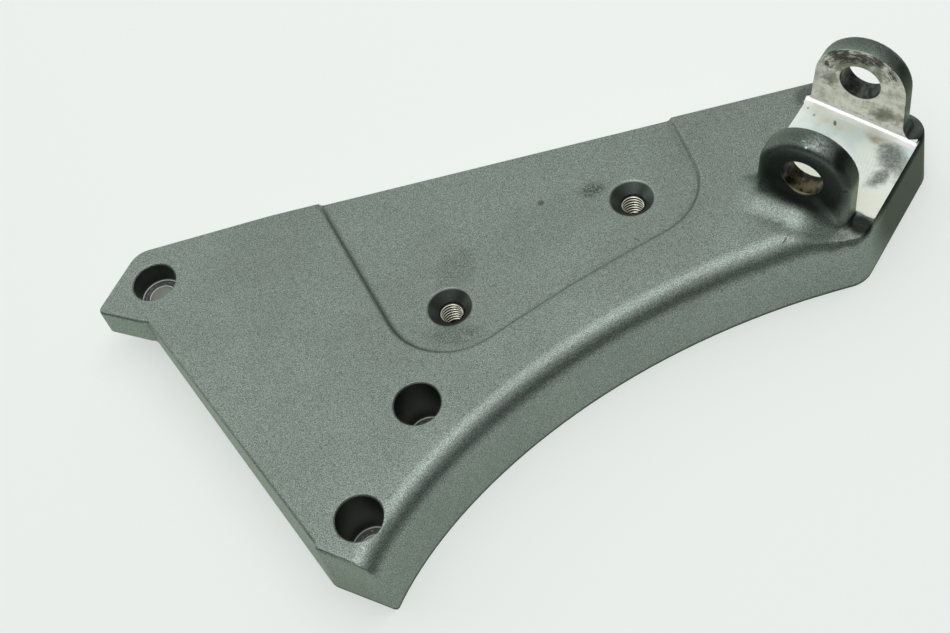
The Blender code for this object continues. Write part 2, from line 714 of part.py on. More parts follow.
def relief_cutter(collection, material):
    """Takes the back away below the tab and along the slope that leads down from it."""
    lead = CUTTER_REACH
    below = BACK_DEPTH + CUT_CLEARANCE
    past = RELIEF_LENGTH * (1 + CUT_CLEARANCE / (BACK_DEPTH - TAB_DEPTH))
    points = ((-lead, -TAB_DEPTH), (0.0, -TAB_DEPTH), (past, -below), (-lead, -below))
    solid = flat_outline("tab_relief", points, CUTTER_REACH * 4, collection, material)
    start, _ = TAB_ROOT
    solid.matrix_world = frame_matrix((*start, 0.0), (*RELIEF_DIRECTION, 0.0), (0.0, 0.0, 1.0))
    return solid


def screw_boss(name, centre, top, bottom, collection, material):
    """A boss round a screw's hole, from the casting down to its pad."""
    foot = SCREW_BOSS_RADIUS - SCREW_BOSS_TAPER
    profile = ((0.0, -top), (SCREW_BOSS_RADIUS, -top), (foot, -bottom), (0.0, -bottom))
    return turned(name, profile, collection, material, Matrix.Translation(Vector((*centre, 0.0)) * MM))


def smooth_by_angle(obj):
    """Shade the finished solid smooth, but for the edges steeper than SMOOTH_ANGLE."""
    group = bpy.data.node_groups.new("smooth by angle", "GeometryNodeTree")
    group.interface.new_socket("Geometry", in_out="INPUT", socket_type="NodeSocketGeometry")
    group.interface.new_socket("Geometry", in_out="OUTPUT", socket_type="NodeSocketGeometry")
    nodes, links = group.nodes, group.links
    angle = nodes.new("GeometryNodeInputMeshEdgeAngle")
    gentle = nodes.new("FunctionNodeCompare")
    gentle.operation = "LESS_EQUAL"
    gentle.inputs["B"].default_value = math.radians(SMOOTH_ANGLE)
    faces = nodes.new("GeometryNodeSetShadeSmooth")
    edges = nodes.new("GeometryNodeSetShadeSmooth")
    edges.domain = "EDGE"
    links.new(angle.outputs["Unsigned Angle"], gentle.inputs["A"])
    links.new(gentle.outputs["Result"], edges.inputs["Shade Smooth"])
    links.new(nodes.new("NodeGroupInput").outputs["Geometry"], faces.inputs["Geometry"])
    links.new(faces.outputs["Geometry"], edges.inputs["Geometry"])
    links.new(edges.outputs["Geometry"], nodes.new("NodeGroupOutput").inputs["Geometry"])
    obj.modifiers.new("smooth by angle", "NODES").node_group = group


def clevis_pocket_corners():
    """Corners of the pocket under the slot's floor, inside the walls of the clevis end."""
    start, end = CLEVIS_POCKET_START, EAR_RADIUS + CLEVIS_POCKET_END
    near, far = -SLOT_WIDTH - CLEVIS_POCKET_NEAR, CLEVIS_POCKET_FAR
    places = ((start, far), (start, near), (end, near), (end, far))
    return [(clevis_point(*place), CLEVIS_POCKET_CORNER) for place in places]


def stand_on_back(body):
    """Carry the part and its forms so that the middle of its footprint is at the origin."""
    bpy.context.view_layer.update()
    shape = body.evaluated_get(bpy.context.evaluated_depsgraph_get())
    corners = [Vector(c) for c in shape.bound_box]
    low = Vector(min(c[i] for c in corners) for i in range(3))
    high = Vector(max(c[i] for c in corners) for i in range(3))
    hanger = bpy.data.objects.new("hanger_frame", None)
    body.users_collection[0].objects.link(hanger)
    for obj in bpy.data.objects:
        if obj is not hanger:
            obj.parent = hanger
    hanger.location = (-(low.x + high.x) / 2, -(low.y + high.y) / 2, -low.z)


def main():
    """Cast the hanger, then machine it."""
    for old in list(bpy.data.objects):
        bpy.data.objects.remove(old)
    part = bpy.data.collections.new("motorcycle footrest hanger")
    guides = bpy.data.collections.new("forms and cutters")
    for collection in (part, guides):
        bpy.context.scene.collection.children.link(collection)
    coated = metal("coated cast aluminium", (0.11, 0.13, 0.12), 0.5, 0.6)
    bare = metal("machined aluminium", (0.72, 0.72, 0.7), 0.3, 1.0)

    body = cast_body(part, coated)
    join(body, ledge_cutter(guides, coated), "DIFFERENCE")
    join(body, descent_cutter(guides, coated), "DIFFERENCE")
    for name, corners in POCKETS.items():
        join(body, pocket_cutter(f"pocket_{name}", corners, POCKET_ROOF, guides, coated), "DIFFERENCE")
    corners = clevis_pocket_corners()
    clevis_pocket = pocket_cutter("pocket_clevis", corners, CLEVIS_POCKET_ROOF, guides, coated)
    join(body, clevis_pocket, "DIFFERENCE")
    join(body, relief_cutter(guides, coated), "DIFFERENCE")
    tab_screw, tab_seat = FRAME_SCREWS[0]
    foot = tab_seat + SCREW_SEAT
    tab_boss = screw_boss("tab_screw_boss", tab_screw, EDGE_RADIUS * 2, foot, guides, coated)
    join(body, tab_boss, "UNION")

    skirt = [s for s in stations(back_outline()) if s.after.edge > EDGE_RADIUS]
    skirt_runs = list(zip(skirt, skirt[1:]))

    def near_ground(place):
        """Height of the casting outside the near ear."""
        return min(descent_height(place.x), -fold_depth(clevis_point(*place), skirt_runs))

    near_in, near_out = -SLOT_WIDTH, near_outer_face()
    join(body, ear("near_ear", near_out, near_in + EAR_STOCK, False, guides, coated), "UNION")
    join(body, ear("far_ear", EAR_THICKNESS, -EAR_STOCK, True, guides, coated), "UNION")
    near_fillet = ear_fillet("near_ear_fillet", near_out, near_in + EAR_STOCK, near_fillet_radius,
                             near_ground, guides, coated)
    join(body, near_fillet, "UNION")
    far_fillet = ear_fillet("far_ear_fillet", -EAR_STOCK, EAR_THICKNESS, far_fillet_radius,
                            lambda place: 0.0, guides, coated)
    join(body, far_fillet, "UNION")

    join(body, panel_cutter(guides, coated), "DIFFERENCE")
    join(body, slot_cutter(guides, bare), "DIFFERENCE")
    for i, (centre, depth) in enumerate(FRAME_SCREWS):
        join(body, counterbore(f"frame_screw_{i + 1}", centre, depth, guides, coated), "DIFFERENCE")
    for i, centre in enumerate(GUARD_SCREWS):
        join(body, tapped_hole(f"guard_screw_{i + 1}", centre, guides, bare), "DIFFERENCE")
    join(body, pin_cutter(guides, bare), "DIFFERENCE")
    smooth_by_angle(body)
    stand_on_back(body)


main()
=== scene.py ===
"""Looks of the motorcycle footrest hanger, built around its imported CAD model.

The hanger is one aluminium casting under a satin grey-green metallic coat. Its slot, ears, pin bore and
two tapped holes were machined through the coat, and show bare metal with the wear of use. Places are
millimetres in the hanger's own frame, with the first screw at the origin and the face at z = 0, or in
the clevis's frame, across and along the footrest's pin. Everything is handed to Blender in metres.
"""

import logging
import math
from dataclasses import dataclass, replace
from enum import IntEnum

import bmesh
import bpy
from mathutils import Matrix, Vector

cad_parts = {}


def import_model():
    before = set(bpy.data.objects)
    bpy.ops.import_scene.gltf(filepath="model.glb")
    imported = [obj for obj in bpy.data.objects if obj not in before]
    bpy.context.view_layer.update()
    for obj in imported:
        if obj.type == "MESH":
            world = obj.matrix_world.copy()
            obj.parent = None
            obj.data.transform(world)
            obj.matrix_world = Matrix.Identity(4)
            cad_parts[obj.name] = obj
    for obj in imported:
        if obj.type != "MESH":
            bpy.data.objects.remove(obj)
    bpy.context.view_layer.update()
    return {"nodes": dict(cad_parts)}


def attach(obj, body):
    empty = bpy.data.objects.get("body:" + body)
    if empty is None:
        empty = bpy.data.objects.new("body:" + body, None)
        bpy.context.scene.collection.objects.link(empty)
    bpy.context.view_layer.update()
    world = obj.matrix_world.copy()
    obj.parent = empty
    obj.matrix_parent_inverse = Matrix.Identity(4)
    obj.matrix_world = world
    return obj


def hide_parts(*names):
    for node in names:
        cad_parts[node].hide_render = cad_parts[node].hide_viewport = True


MM = 0.001
NODE = "footrest_hanger"
BODY = "root"
HANGER_ORIGIN = Vector((-115.0201, 50.674, 25.0))
# Each screw's place on the face, and the depth of its seat for the three that hold the hanger
FRAME_SCREWS = ((0.0, 0.0, 8.4), (77.1, -68.3, 19.6), (55.8, -100.7, 19.6))
GUARD_SCREWS = ((91.6, -35.6), (154.1, -11.1))
THREAD_TURNS = (7.2, 9.6)

# What can feed a node: a socket, or a node by its first open output
Source = bpy.types.Node | bpy.types.NodeSocket
# Every mix is of two colours, and every mask fades in and out gently
COLOURS = {"data_type": "RGBA"}
GENTLE = {"interpolation_type": "SMOOTHSTEP"}

log = logging.getLogger("footrest_hanger")


def linear(hex_colour: str) -> tuple[float, float, float, float]:
    """Turn an sRGB hex colour into linear values.

    Args:
        hex_colour: Six hex digits after a hash.

    Returns:
        Red, green, blue and an alpha of 1.
    """
    parts = [int(hex_colour[i:i + 2], 16) / 255 for i in (1, 3, 5)]
    red, green, blue = (c / 12.92 if c <= 0.04045 else ((c + 0.055) / 1.055) ** 2.4 for c in parts)
    return red, green, blue, 1.0


def per_metre(feature: float) -> float:
    """Turn a feature's size in millimetres into its pattern's scale."""
    return 1.0 / (feature * MM)


class Tree:
    """The nodes of a material or of the world, with one way to add to them."""

    def __init__(self, name: str, world: bpy.types.World | None = None) -> None:
        """Start with only a shader and its output.

        Args:
            name: The material's name: the real finish and how it was made.
            world: The world, where the nodes are its own.
        """
        self.material = world or bpy.data.materials.new(name)
        self.material.use_nodes = True
        self.nodes = self.material.node_tree.nodes
        self.links = self.material.node_tree.links
        self.shader = self.nodes["Background" if world else "Principled BSDF"]

    def add(self, kind: str, inputs: dict | tuple = (), **settings: object) -> bpy.types.Node:
        """Add a node with its settings and links.

        Args:
            kind: The node's type, without its common prefix.
            inputs: What it takes, as feed has it.
            **settings: The node's own properties.

        Returns:
            The new node.
        """
        node = self.nodes.new("ShaderNode" + kind)
        for name, value in settings.items():
            setattr(node, name, value)
        self.feed(node, inputs)
        return node

    def feed(self, node: bpy.types.Node, inputs: dict | tuple) -> None:
        """Give a node's inputs their values and links.

        Args:
            node: The node that takes them.
            inputs: Values and sources, by the input's name or in the order of the open inputs.
        """
        if isinstance(inputs, dict):
            pairs = [(node.inputs[name], value) for name, value in inputs.items()]
        else:
            pairs = zip([socket for socket in node.inputs if socket.enabled], inputs)
        for socket, value in pairs:
            if isinstance(value, bpy.types.Node):
                value = next(result for result in value.outputs if result.enabled)
            if isinstance(value, bpy.types.NodeSocket):
                self.links.new(value, socket)
            else:
                socket.default_value = value

    def fold(self, operation: str, values: list[Source]) -> Source:
        """Join several values into one, two at a time.

        Args:
            operation: The Math node's operation.
            values: What is joined.

        Returns:
            The result.
        """
        result = values[0]
        for value in values[1:]:
            result = self.add("Math", (result, value), operation=operation)
        return result

    def strongest(self, masks: list[Source]) -> Source:
        """Take the highest of some masks at each place."""
        return self.fold("MAXIMUM", masks)

    def from_axis(self, place: Source, foot: Vector) -> tuple[Source, Source]:
        """Measure from an upright axis.

        Args:
            place: The place on the part, in metres.
            foot: A place on the axis in the hanger's frame, in millimetres.

        Returns:
            The distance from the axis and the height above its foot, in metres.
        """
        origin = (HANGER_ORIGIN + foot) * MM
        away = self.add("VectorMath", (place, origin), operation="SUBTRACT")
        flat = self.add("VectorMath", (away, (1.0, 1.0, 0.0)), operation="MULTIPLY")
        radius = self.add("VectorMath", (flat,), operation="LENGTH")
        return radius, self.add("SeparateXYZ", (away,)).outputs["Z"]


@dataclass(frozen=True)
class Clevis:
    """The footrest's clevis: where its pin, slot and ears are, in millimetres."""

    foot: tuple[float, float] = (229.2, -0.66)
    azimuth: float = 48.19
    pin_height: float = 13.0
    pin_radius: float = 6.7
    slot_width: float = 33.8
    floor_angle: float = 8.65
    floor_start: float = -16.5
    half_length: float = 40.0

    def along(self) -> Vector:
        """Unit vector along the pin, away from the skirt."""
        turn = math.radians(self.azimuth)
        return Vector((math.cos(turn), math.sin(turn), 0.0))

    def across(self) -> Vector:
        """Unit vector across the pin, towards the end wall."""
        along = self.along()
        return Vector((along.y, -along.x, 0.0))

    def local(self, place: Vector) -> Vector:
        """Turn a place in the hanger's frame into the clevis's.

        Args:
            place: A place in the hanger's frame, in millimetres.

        Returns:
            Its distances across and along the pin, and its height above the face.
        """
        away = place - Vector((*self.foot, 0.0))
        return Vector((away.dot(self.across()), away.dot(self.along()), place.z))

    def floor_height(self, across: float) -> float:
        """Height of the slot's sloping floor at a distance across the pin."""
        return -math.tan(math.radians(self.floor_angle)) * (across - self.floor_start)

    def frame_place(self, tree: Tree) -> Source:
        """Give a material the clevis's own frame.

        Args:
            tree: The material's nodes.

        Returns:
            The place across the pin, along it and above the face, in metres.
        """
        origin = (HANGER_ORIGIN + Vector((*self.foot, 0.0))) * MM
        geometry = tree.add("NewGeometry")
        moved = tree.add("VectorMath", (geometry.outputs["Position"], origin), operation="SUBTRACT")
        axes = (self.across(), self.along(), Vector((0.0, 0.0, 1.0)))
        parts = tuple(tree.add("VectorMath", (moved, axis), operation="DOT_PRODUCT") for axis in axes)
        return tree.add("CombineXYZ", parts)


@dataclass(frozen=True)
class Mark:
    """A mark on a surface: its middle, half its length and width, its turn and how strong it is.

    Places and sizes are millimetres. The turn is in degrees about the third axis.
    """

    middle: tuple[float, float, float]
    reach: tuple[float, float, float]
    turn: float = 0.0
    strength: float = 1.0

    def mask(self, tree: Tree, place: Source, softness: float = 0.7) -> Source:
        """Make the mark's mask.

        Args:
            tree: The material's nodes.
            place: The place on the part, in metres.
            softness: The share of the reach over which it fades.

        Returns:
            The mark's strength at its middle, and 0 outside.
        """
        inputs = {"Vector": place, "Location": [c * MM for c in self.middle],
                  "Rotation": (0.0, 0.0, math.radians(self.turn)), "Scale": [r * MM for r in self.reach]}
        moved = tree.add("Mapping", inputs, vector_type="TEXTURE")
        distance = tree.add("VectorMath", (moved,), operation="LENGTH")
        return tree.add("MapRange", (distance, 1.0 - softness, 1.0, self.strength, 0.0), **GENTLE)


class Finish(IntEnum):
    """The casting's finishes, in the order of its material slots."""

    COAT = 0
    SOCKET = 1
    MILLED = 2
    RUBBED = 3
    WORN_BORE = 4
    COATED_BORE = 5
    TAPPED = 6


@dataclass(frozen=True)
class MetallicCoat:
    """Satin metallic powder coat, sprayed over a sand-cast skin and baked.

    The powder flows out into a fine pebbled skin. Seen from the lamp's side its aluminium flakes sparkle
    as pale specks, and away from it the coat goes dark at once. Round the clevis boots have rubbed it
    smoother and darker, and there and in the countersinks it is painted nearly black, mostly as painted
    shade. Its concave corners are darkened with painted shade.
    """

    colour: str = "#828D85"
    dark_grain: str = "#3E4841"
    pale_grain: str = "#B8C3BB"
    smudge: str = "#4A5550"
    # Near black for the painted shade in concave corners
    chip: str = "#20241F"
    painted_crease_shade: str = "#1E221F"
    polished_and_shaded: str = "#252926"
    # Pale for the scuffs and the painted highlight on the near ear's top
    scuffed_and_lit: str = "#A4ADA8"
    bare: str = "#D8DCD8"
    noise_turn: tuple[float, float, float] = (0.65, 0.4, 0.2)
    # The real coat's pebbles are 0.2 to 0.3 mm across, about one pixel of the photograph
    pebble: float = 0.25
    pebble_height: float = 0.055
    flake: float = 0.18
    crease_shade_reach: float = 1.4
    cloud: float = 38.0
    clevis: Clevis = Clevis()
    smudges: tuple[Mark, ...] = (
        Mark((-19.5, 28.5, 22.8), (8.5, 13.0, 9.0), -30.0, 0.45),
        Mark((-23.5, 4.3, 22.8), (13.0, 6.0, 9.0), -14.0, 0.65),
        Mark((8.0, 36.0, 22.8), (36.0, 14.0, 9.0), 25.0, 0.22),
        Mark((28.0, 46.5, 22.8), (6.0, 4.4, 9.0), 12.0, 1.0),
        Mark((-95.4, 3.2, 25.0), (2.6, 2.0, 4.0), 0.0, 0.3),
    )
    chips: tuple[Mark, ...] = (
        Mark((11.2, 46.3, 22.8), (1.6, 1.3, 4.0), 10.0, 0.55),
        Mark((36.8, 23.3, 22.8), (1.5, 0.4, 4.0), -45.0, 0.5),
        Mark((78.7, 8.9, 24.0), (1.9, 0.3, 4.0), 40.0, 0.8),
    )
    # Each countersink: its cone is painted dark, as painted shade
    countersinks: tuple[Mark, ...] = (
        Mark((-23.4, 15.1, 19.7), (15.0, 15.0, 3.45), 0.0, 0.82),
        Mark((39.1, 39.6, 19.7), (15.0, 15.0, 3.45), 0.0, 0.78),
    )
    lip_share: float = 1.07
    # Where the coat is painted nearly black: mostly painted shade, with boot wear round the clevis
    # Across the pin, along it and above the face
    polish_and_shade_marks: tuple[Mark, ...] = (
        Mark((-1.0, -37.5, 14.0), (19.0, 10.0, 21.0), 0.0, 0.66),
        Mark((0.5, -41.0, 11.5), (22.0, 5.6, 18.5), 0.0, 0.93),
        Mark((12.5, -37.0, 18.5), (9.0, 7.5, 11.0), 0.0, 0.9),
        Mark((0.0, 4.5, 14.0), (22.0, 7.0, 22.0), 0.0, 0.5),
        Mark((13.5, 3.5, 13.0), (9.0, 8.0, 15.0), 0.0, 0.93),
        Mark((21.0, -11.0, -12.0), (7.5, 30.0, 26.0), 0.0, 0.96),
        Mark((17.5, -37.0, -4.5), (5.5, 5.0, 4.0), 0.0, 0.97),
        Mark((18.0, 3.5, -5.0), (8.0, 9.0, 6.0), 0.0, 0.7),
        Mark((-17.0, 0.0, 0.0), (5.0, 6.0, 4.0), 0.0, 0.45),
    )
    scuff_and_highlight: Mark = Mark((3.8, -37.6, 26.0), (7.5, 3.6, 4.0), 0.0, 0.8)
    specks: tuple[Mark, ...] = (
        Mark((0.6, -40.0, 25.8), (0.45, 0.4, 0.8), 0.0, 0.9),
        Mark((-0.8, -38.4, 26.4), (0.8, 0.3, 0.8), 0.0, 0.5),
    )
    nick: Mark = Mark((13.3, -40.6, 12.8), (1.0, 1.2, 0.6), 0.0, 0.8)
    edge_radius: float = 0.5
    foot_of_ear: Mark = Mark((7.2, -41.5, 2.5), (11.0, 7.0, 9.0))
    foot_radius: float = 4.5
    edge_tint: str = "#D5DFCE"
    metallic: float = 0.86
    dull: float = 0.46
    bright: float = 0.3

    def build(self) -> bpy.types.Material:
        """Make the material.

        Returns:
            The material.
        """
        tree = Tree("metallic_powder_coat_on_cast_aluminium")
        place = tree.add("TexCoord").outputs["Object"]
        by_pin = self.clevis.frame_place(tree)
        # Turned, as noise goes flat on a face that lies along its lattice
        turned = tree.add("Mapping", {"Vector": place, "Rotation": self.noise_turn})
        pebbles = tree.add("TexNoise", (turned, per_metre(self.pebble), 2.0, 0.6))
        flakes = tree.add("TexNoise", (turned, per_metre(self.flake), 0.0))
        # The countersinks' cones and the clevis are painted nearly black: painted shade, and boot wear
        # round the clevis
        shaded_cones = [mark.mask(tree, place, 0.1) for mark in self.countersinks]
        polish_and_shade = tree.strongest(shaded_cones + [mark.mask(tree, by_pin, 0.5) for mark in self.polish_and_shade_marks])
        grain = tree.add("MapRange", (pebbles, 0.34, 0.66), **GENTLE)
        colour = tree.add("Mix", (grain, linear(self.dark_grain), linear(self.pale_grain)), **COLOURS)
        colour = tree.add("Mix", (0.3, colour, linear(self.colour)), **COLOURS)
        drift = tree.add("TexNoise", (place, per_metre(self.cloud), 3.0))
        clouds = tree.add("MapRange", (drift, 0.35, 0.65, 0.94, 1.05), **GENTLE)
        shade = tree.add("CombineXYZ", (clouds, clouds, clouds))
        colour = tree.add("Mix", (1.0, colour, shade), blend_type="MULTIPLY", **COLOURS)
        smear = tree.add("TexNoise", (turned, per_metre(0.7), 3.0, 0.75))
        patches = tree.add("MapRange", (smear, 0.42, 0.6, 0.15, 1.0), **GENTLE)
        for mark in self.smudges:
            share = tree.add("Math", (mark.mask(tree, place), patches), operation="MULTIPLY")
            colour = tree.add("Mix", (share, colour, linear(self.smudge)), **COLOURS)
        # Painted shade: concave corners and creases, found by ambient occlusion, are darkened towards near
        # black
        corners = tree.add("AmbientOcclusion", {"Distance": self.crease_shade_reach * MM}, samples=8)
        crease_shade_share = tree.add("MapRange", (corners.outputs["AO"], 0.72, 0.99, 0.82, 0.0), **GENTLE)
        colour = tree.add("Mix", (crease_shade_share, colour, linear(self.painted_crease_shade)), **COLOURS)
        lips = [replace(mark, reach=tuple(self.lip_share * r for r in mark.reach), strength=0.5)
                for mark in self.countersinks]
        worn_lips = tree.strongest([lip.mask(tree, place, 0.1) for lip in lips])
        colour = tree.add("Mix", (worn_lips, colour, linear(self.pale_grain)), **COLOURS)
        # Painted shade with some boot wear: the clevis and the countersinks go nearly black
        colour = tree.add("Mix", (polish_and_shade, colour, linear(self.polished_and_shaded)), **COLOURS)
        # Scuffs and a painted highlight: the near ear's rounded top is painted paler in scratchy streaks
        scratches = tree.add("TexNoise", (by_pin, per_metre(0.8), 4.0, 0.75))
        scratched = tree.add("MapRange", (scratches, 0.4, 0.58), **GENTLE)
        scuffs_and_highlight = tree.add("Math", (self.scuff_and_highlight.mask(tree, by_pin, 0.9), scratched), operation="MULTIPLY")
        colour = tree.add("Mix", (scuffs_and_highlight, colour, linear(self.scuffed_and_lit)), **COLOURS)
        for mark in self.specks:
            colour = tree.add("Mix", (mark.mask(tree, by_pin, 0.5), colour, linear(self.bare)), **COLOURS)
        for mark in self.chips:
            colour = tree.add("Mix", (mark.mask(tree, place, 0.6), colour, linear(self.chip)), **COLOURS)
        nick = self.nick.mask(tree, by_pin, 0.6)
        colour = tree.add("Mix", (nick, colour, linear(self.chip)), **COLOURS)
        # The powder fills the crease where the near ear's fillet runs out
        crease = self.foot_of_ear.mask(tree, by_pin, 0.6)
        radii = (self.edge_radius * MM, self.foot_radius * MM)
        filled = tree.add("MapRange", (crease, 0.0, 1.0, *radii), **GENTLE)
        edge = tree.add("Bevel", {"Radius": filled}, samples=8)
        low_flakes = tree.add("Math", (flakes, 0.5), operation="MULTIPLY")
        height = tree.add("Math", (pebbles, low_flakes), operation="ADD")
        strength = tree.add("MapRange", (polish_and_shade, 0.3, 0.9, 1.0, 0.3), **GENTLE)
        bump = tree.add("Bump", {"Height": height, "Distance": self.pebble_height * MM,
                                 "Strength": strength, "Normal": edge})
        roughness = tree.add("MapRange", (flakes, 0.35, 0.7, self.dull, self.bright), **GENTLE)
        tree.feed(tree.shader, {"Base Color": colour, "Metallic": self.metallic, "Roughness": roughness,
                                "Specular Tint": linear(self.edge_tint), "Normal": bump})
        return tree.material


@dataclass(frozen=True)
class SocketCoat:
    """The same powder coat inside the counterbores, worn off in rings by the screws' heads.

    The walls are painted darker than the face, as painted shade, and are smoother. The turning heads
    leave bright rings on the seat.
    """

    # Painted shade: the counterbores' walls are darker than the face
    wall: str = "#2B302D"
    seat: str = "#6A726C"
    bare: str = "#F4F5F1"
    through: str = "#B9BCB3"
    seat_radius: float = 7.0
    hole_radius: float = 4.2
    # Each ring's radius, its half width and the noise above which it shows
    rings: tuple[tuple[float, float, float], ...] = (
        (6.75, 0.28, 0.25), (5.7, 0.16, 0.52), (5.1, 0.14, 0.56), (4.4, 0.22, 0.3))
    metallic: float = 0.5
    roughness: float = 0.42
    torn_metallic: float = 0.1
    torn_roughness: float = 0.6
    edge_radius: float = 0.2
    relief: float = 0.02

    def build(self) -> bpy.types.Material:
        """Make the material.

        Returns:
            The material.
        """
        tree = Tree("thin_powder_coat_rubbed_bare_under_screw_heads")
        place = tree.add("TexCoord").outputs["Object"]
        radii, heights = [], []
        for x, y, seat in FRAME_SCREWS:
            radius, height = tree.from_axis(place, Vector((x, y, -seat)))
            # Away from its own screw a height counts as high above the seat
            beyond = [(self.seat_radius + gap) * MM for gap in (1.5, 2.5)]
            far = tree.add("MapRange", (radius, *beyond), **GENTLE)
            off_seat = tree.add("Math", (height,), operation="ABSOLUTE")
            radii.append(radius)
            heights.append(tree.add("Math", (off_seat, far), operation="ADD"))
        distance = tree.fold("MINIMUM", radii)
        depth = tree.fold("MINIMUM", heights)
        on_seat = tree.add("MapRange", (depth, 0.12 * MM, 0.3 * MM, 1.0, 0.0), **GENTLE)
        colour = tree.add("Mix", (on_seat, linear(self.wall), linear(self.seat)), **COLOURS)
        rim = [(self.hole_radius + gap) * MM for gap in (0.1, 0.3)]
        within = tree.add("MapRange", (distance, *rim, 1.0, 0.0), **GENTLE)
        colour = tree.add("Mix", (within, colour, linear(self.through)), **COLOURS)
        flecks = tree.add("TexNoise", (place, per_metre(0.7), 3.0, 0.7))
        worn = []
        for radius, width, low in self.rings:
            away = tree.add("Math", (distance, radius * MM), operation="SUBTRACT")
            gap = tree.add("Math", (away,), operation="ABSOLUTE")
            ring = tree.add("MapRange", (gap, 0.3 * width * MM, width * MM, 1.0, 0.0), **GENTLE)
            flecked = tree.add("MapRange", (flecks, low, low + 0.1), **GENTLE)
            worn.append(tree.add("Math", (ring, flecked), operation="MULTIPLY"))
        rings = tree.add("Math", (tree.strongest(worn), on_seat), operation="MULTIPLY")
        colour = tree.add("Mix", (rings, colour, linear(self.bare)), **COLOURS)
        edge = tree.add("Bevel", {"Radius": self.edge_radius * MM}, samples=4)
        bump = tree.add("Bump", {"Height": flecks, "Distance": self.relief * MM, "Strength": 0.7,
                                 "Normal": edge})
        # Torn metal scatters the lamp, where a polished ring would only mirror the dark wall
        metallic = tree.add("MapRange", (rings, 0.0, 1.0, self.metallic, self.torn_metallic), **GENTLE)
        roughness = tree.add("MapRange", (rings, 0.0, 1.0, self.roughness, self.torn_roughness), **GENTLE)
        tree.feed(tree.shader, {"Base Color": colour, "Metallic": metallic, "Roughness": roughness,
                                "Normal": bump})
        return tree.material


